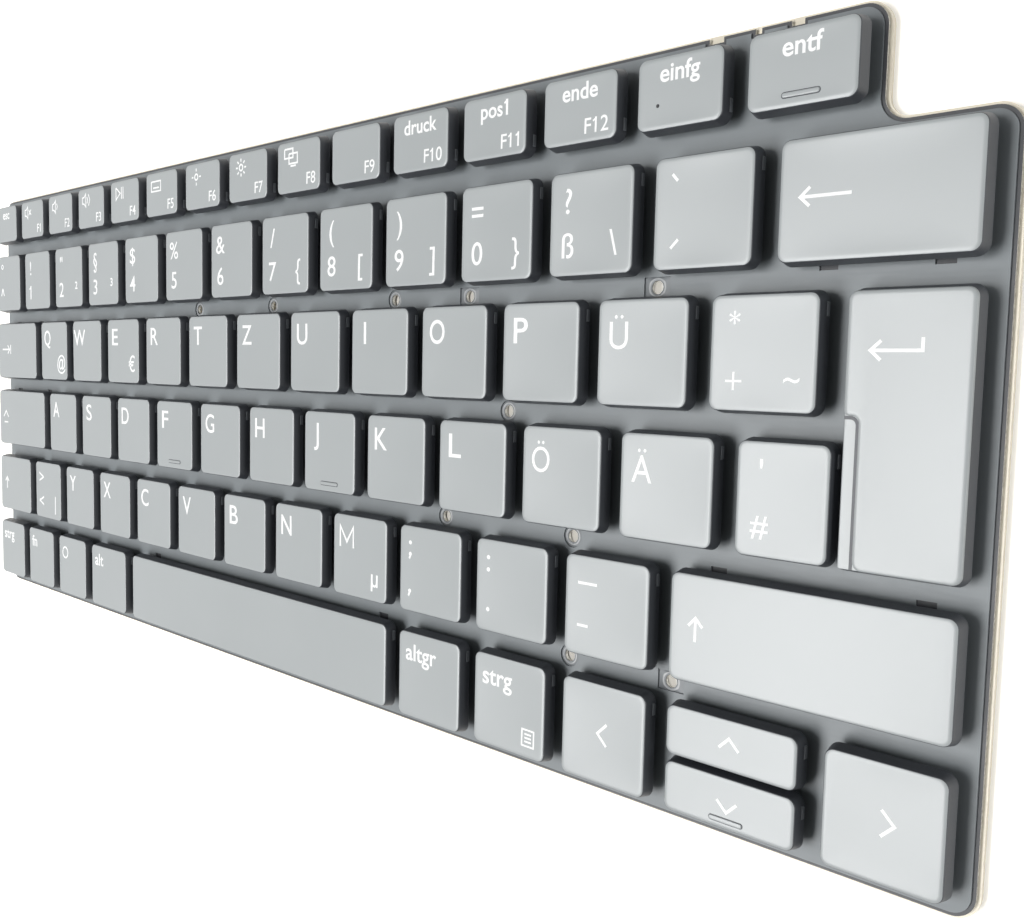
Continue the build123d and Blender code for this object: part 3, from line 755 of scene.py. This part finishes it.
def finish(name, dark, light, patch_mm, grain_mm, rough, bump_mm, streak=1.0, cut=None, **surface):
    """A material whose colour drifts between two tones in soft patches, with a fine grain that moves its
    roughness and stands up by bump_mm. Noise scales are one over the real sizes in metres. A streak makes
    the grain that many times longer along X. With a cut colour, faces that stand upright are bare metal."""
    material = bpy.data.materials.new(name)
    material.use_nodes = True
    tree = material.node_tree
    tree.nodes.clear()
    place = add(tree, "ShaderNodeTexCoord").outputs["Object"]
    along = add(tree, "ShaderNodeMapping", {"Vector": place, "Scale": (1 / streak, 1.0, 1.0)})
    patch = add(tree, "ShaderNodeTexNoise", {"Vector": place, "Scale": 1 / (patch_mm * MM), "Detail": 3.0})
    grain = add(tree, "ShaderNodeTexNoise",
                {"Vector": along.outputs[0], "Scale": 1 / (grain_mm * MM), "Detail": 2.0})
    tone = add(tree, "ShaderNodeMix", {0: patch.outputs[0], 6: linear(dark), 7: linear(light)},
               data_type="RGBA")
    level = add(tree, "ShaderNodeMapRange",
                {0: grain.outputs[0], 3: rough - ROUGH_DRIFT, 4: rough + ROUGH_DRIFT})
    raised = add(tree, "ShaderNodeBump",
                 {"Strength": BUMP_STRENGTH, "Distance": bump_mm * MM, "Height": grain.outputs[0]})
    sockets = {"Base Color": tone.outputs[2], "Roughness": level.outputs[0], "Normal": raised.outputs[0]}
    if cut:
        normal = add(tree, "ShaderNodeNewGeometry").outputs["True Normal"]
        facing = add(tree, "ShaderNodeSeparateXYZ", {0: normal})
        flat = add(tree, "ShaderNodeMath", {0: facing.outputs[2]}, operation="ABSOLUTE")
        upright = add(tree, "ShaderNodeMath", {0: flat.outputs[0], 1: UPRIGHT_BELOW},
                      operation="LESS_THAN").outputs[0]
        torn = add(tree, "ShaderNodeMix", {0: grain.outputs[0], 6: linear(cut[0]), 7: linear(cut[1])},
                   data_type="RGBA")
        both = add(tree, "ShaderNodeMix", {0: upright, 6: tone.outputs[2], 7: torn.outputs[2]},
                   data_type="RGBA")
        sockets.update({"Base Color": both.outputs[2], "Metallic": upright})
    shader = add(tree, "ShaderNodeBsdfPrincipled", {**sockets, **surface})
    add(tree, "ShaderNodeOutputMaterial", {"Surface": shader.outputs[0]})
    return material


# Painted sheen: the dark ABS cap's top and upper edge are given an even light cool grey that stands in for
# the lamp's sheen, with a faint grain that softens the lamp's image.
cap_top_sheen = finish("abs_cap_top_painted_sheen", "#9A9FA0", "#A1A6A7", 22, 0.22, 0.36, 0.003, IOR=1.66)
# Moulded ABS side wall in the cap's own near-black colour, with the dull sheen of a spark-eroded mould.
cap_wall = finish("abs_cap_moulded_black_wall", "#3B3E43", "#46494E", 9, 0.3, 0.45, 0.006)
# Trimmed gate: bare ABS, rougher and paler where the cutter went through.
cap_gate = finish("abs_gate_trimmed_grey", "#6E7276", "#7E8286", 1, 0.2, 0.6, 0.01)
# White pad print: an opaque ink film with a soft gloss, slightly thinner in places.
white_print = finish("pad_print_white_ink", "#F4F5F5", "#FBFBFA", 1.5, 0.15, 0.5, 0.001)
# Dark lens of the indicator: smooth tinted acrylic.
lamp_lens = finish("acrylic_lens_smoke", "#1C1D20", "#26282B", 1, 0.3, 0.25, 0.001)
# Printed polyester film: dark grey, satin, with a slow ripple from the sheets under it.
film_black = finish("polyester_film_satin_grey", "#6E7477", "#7C8285", 7, 0.35, 0.45, 0.006, streak=14.0)
# Stamped steel under a dark coat, bare and glittering where the press cut through it.
plate_coat = finish("steel_plate_dark_coat", "#2E3034", "#3A3C40", 10, 0.4, 0.45, 0.006,
                    cut=("#8E8E8C", "#F6F6F2"))
# Coined collar of a screw hole under the same coat, paler on its flat floor.
collar_coat = finish("steel_collar_grey_coat", "#74787B", "#83878A", 1.2, 0.2, 0.45, 0.006)
# Crest of the collar, a paler grey than its floor.
collar_rim = finish("steel_collar_pale_crest", "#9EA1A3", "#B4B6B7", 0.6, 0.15, 0.38, 0.004)
# Acrylic light guide, warm and slightly milky from its printed dots.
guide_cream = finish("acrylic_light_guide_cream", "#E2D9C4", "#EEE6D4", 6, 0.5, 0.35, 0.003)
# White polyester reflector: even and matt, with a faint texture from its coating.
reflector_white = finish("polyester_reflector_white", "#E6E6E2", "#F0F0EC", 8, 0.4, 0.4, 0.004)
# Silicone rubber dome: cloudy and soft, with a slightly tacky sheen.
dome_rubber = finish("silicone_dome_cloudy", "#B9BBB8", "#C8CAC7", 2, 0.3, 0.45, 0.004)
# Acetal link, moulded black with a waxy gloss.
link_acetal = finish("acetal_link_black", "#222326", "#2C2D30", 2, 0.3, 0.38, 0.004)
# Drawn spring steel wire, bright with fine drawing marks.
wire_steel = finish("spring_steel_wire_drawn", "#A8A9AA", "#C4C5C6", 1, 0.2, 0.28, 0.002, Metallic=1.0)


# Assembly


SHARP_ANGLE = math.radians(35)


def piece(name, shells, materials, body, replaced=()):
    """Joins shells into one mesh at the origin, gives it its finishes and hangs it on a CAD body."""
    counts = np.cumsum([0] + [len(shell[0]) for shell in shells])
    points = np.concatenate([shell[0] for shell in shells]) * MM
    faces = [[index + start for index in face] for shell, start in zip(shells, counts) for face in shell[1]]
    finishes = [index for shell in shells for index in shell[2]]
    mesh = bpy.data.meshes.new(name)
    mesh.from_pydata(points.tolist(), [], faces)
    for material in materials:
        mesh.materials.append(material)
    mesh.polygons.foreach_set("material_index", finishes)
    mesh.shade_smooth()
    mesh.set_sharp_from_angle(angle=SHARP_ANGLE)
    mesh.update()
    made = bpy.data.objects.new(name, mesh)
    bpy.context.scene.collection.objects.link(made)
    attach(made, body)
    if replaced:
        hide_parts(*replaced)
    return made


# Finishes of a cap: the painted sheen of its top, its dark wall colour, and the gate.
CAP_FINISHES = [cap_top_sheen, cap_wall, cap_gate]
PRINT_FINISHES = [white_print, lamp_lens]
MECHANISM_FINISHES = [dome_rubber, link_acetal, wire_steel]
MECHANISM_NODES = ("rubber_domes", "scissor_outer_links", "scissor_inner_links", "stabiliser_wires")

for group, names in FIXED_GROUPS.items():
    shells = [shell for name in names for shell in cap(name)]
    piece(f"caps_{group}", shells, CAP_FINISHES, "base", (group,))
    marks = [shell for name in names for shell in cap_print(name)]
    piece(f"print_{group}", marks, PRINT_FINISHES, "base")
fixed_names = [name for names in FIXED_GROUPS.values() for name in names]
fixed_shells = [shell for name in fixed_names for shell in mechanism(name)]
piece("mechanism_fixed_keys", fixed_shells, MECHANISM_FINISHES, "base", MECHANISM_NODES)

for name in TOPS:
    if name in fixed_names:
        continue
    body = f"key_{name}"
    piece(f"cap_{name}", cap(name), CAP_FINISHES, body, (body,))
    marks = cap_print(name)
    if marks:
        piece(f"print_{name}", marks, PRINT_FINISHES, body)
    below = piece(f"mechanism_{name}", mechanism(name), MECHANISM_FINISHES, "base", MECHANISM_NODES)
    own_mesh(below)

left_edge = TOPS["caret"][0] - KEY_GAP / 2
collars = [hole_collar(left_edge + count * KEY_PITCH, y, (y, count) in SQUARE_WINDOWS)
           for y, counts in HOLE_ROWS.items() for count in counts]
piece("hole_collars", collars, [collar_coat, collar_rim], "base")

for node, material in {"base_plate": plate_coat, "membrane_film": film_black, "light_guide": guide_cream,
                       "reflector_sheet": reflector_white}.items():
    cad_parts[node].data.materials.clear()
    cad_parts[node].data.materials.append(material)


# Floor, light and camera

scene = bpy.context.scene
scene.view_settings.view_transform = "Standard"

FLOOR_HALF = 0.9
FLOOR_Z = -0.00005
corners = rectangle(-FLOOR_HALF, -FLOOR_HALF, FLOOR_HALF, FLOOR_HALF)
floor_mesh = bpy.data.meshes.new("floor")
floor_mesh.from_pydata([(x, y, FLOOR_Z) for x, y in corners], [], [(0, 1, 2, 3)])
floor = bpy.data.objects.new("floor", floor_mesh)
scene.collection.objects.link(floor)


def seen_background(tree):
    """A socket that is 1 where the eye meets the backdrop, straight on, by reflection or through glass."""
    rays = add(tree, "ShaderNodeLightPath").outputs
    direct = add(tree, "ShaderNodeMath", {0: rays["Is Camera Ray"], 1: rays["Is Glossy Ray"]},
                 operation="MAXIMUM")
    through = add(tree, "ShaderNodeMath", {0: direct.outputs[0], 1: rays["Is Transmission Ray"]},
                  operation="MAXIMUM")
    return through.outputs[0]


FLOOR_GLOW = 0.5
floor_white = bpy.data.materials.new("paper_backdrop_white")
floor_white.use_nodes = True
tree = floor_white.node_tree
tree.nodes.clear()
seen = seen_background(tree)
glow = add(tree, "ShaderNodeMath", {0: seen, 1: FLOOR_GLOW}, operation="MULTIPLY")
paper = add(tree, "ShaderNodeBsdfDiffuse", {"Color": linear("#F4F4F2")})
shine = add(tree, "ShaderNodeEmission", {"Color": linear("#FFFAF0"), "Strength": glow.outputs[0]})
both = add(tree, "ShaderNodeAddShader", {0: paper.outputs[0], 1: shine.outputs[0]})
add(tree, "ShaderNodeOutputMaterial", {"Surface": both.outputs[0]})
floor_mesh.materials.append(floor_white)

AMBIENT = 0.12
world = bpy.data.worlds.new("studio_white")
scene.world = world
world.use_nodes = True
tree = world.node_tree
tree.nodes.clear()
seen = seen_background(tree)
power = add(tree, "ShaderNodeMapRange", {0: seen, 3: AMBIENT, 4: 1.0})
sky = add(tree, "ShaderNodeBackground", {"Color": (1.0, 1.0, 1.0, 1.0), "Strength": power.outputs[0]})
add(tree, "ShaderNodeOutputWorld", {"Surface": sky.outputs[0]})


def softbox(name, place, aim, size, watts):
    """Rectangular area lamp at a place, facing a point, its second side along Y, all in metres."""
    lamp = bpy.data.lights.new(name, "AREA")
    lamp.shape = "RECTANGLE"
    lamp.size, lamp.size_y = size
    lamp.energy = watts
    ahead = (Vector(aim) - Vector(place)).normalized()
    right = ahead.cross(Vector((0, 1, 0))).normalized()
    holder = bpy.data.objects.new(name, lamp)
    turn = Matrix((right, right.cross(ahead), -ahead)).transposed()
    holder.matrix_world = Matrix.Translation(place) @ turn.to_4x4()
    scene.collection.objects.link(holder)


softbox("softbox_above", (-0.42, -0.25, 1.19), (0.05, 0, 0), (0.49, 1.1), 18.0)
softbox("softbox_left", (-1.2, -0.08, 0.62), (0, 0, 0), (0.4, 1.2), 0.9)
softbox("softbox_right", (1.1, -0.1, 0.3), (0.1, 0, 0), (0.3, 0.8), 4.0)

CAMERA_AT = Vector((172.015, 8.676, 123.371)) * MM
CAMERA_RIGHT = Vector((0.73936, 0.02267, -0.67293))
CAMERA_UP = Vector((-0.07276, 0.99627, -0.04638))
camera_data = bpy.data.cameras.new("photo_camera")
camera_data.sensor_width = 36.0
camera_data.lens = 35.796
camera_data.clip_start = 0.005
camera = bpy.data.objects.new("photo_camera", camera_data)
turn = Matrix((CAMERA_RIGHT, CAMERA_UP, CAMERA_RIGHT.cross(CAMERA_UP))).transposed()
camera.matrix_world = Matrix.Translation(CAMERA_AT) @ turn.to_4x4()
scene.collection.objects.link(camera)
scene.camera = camera
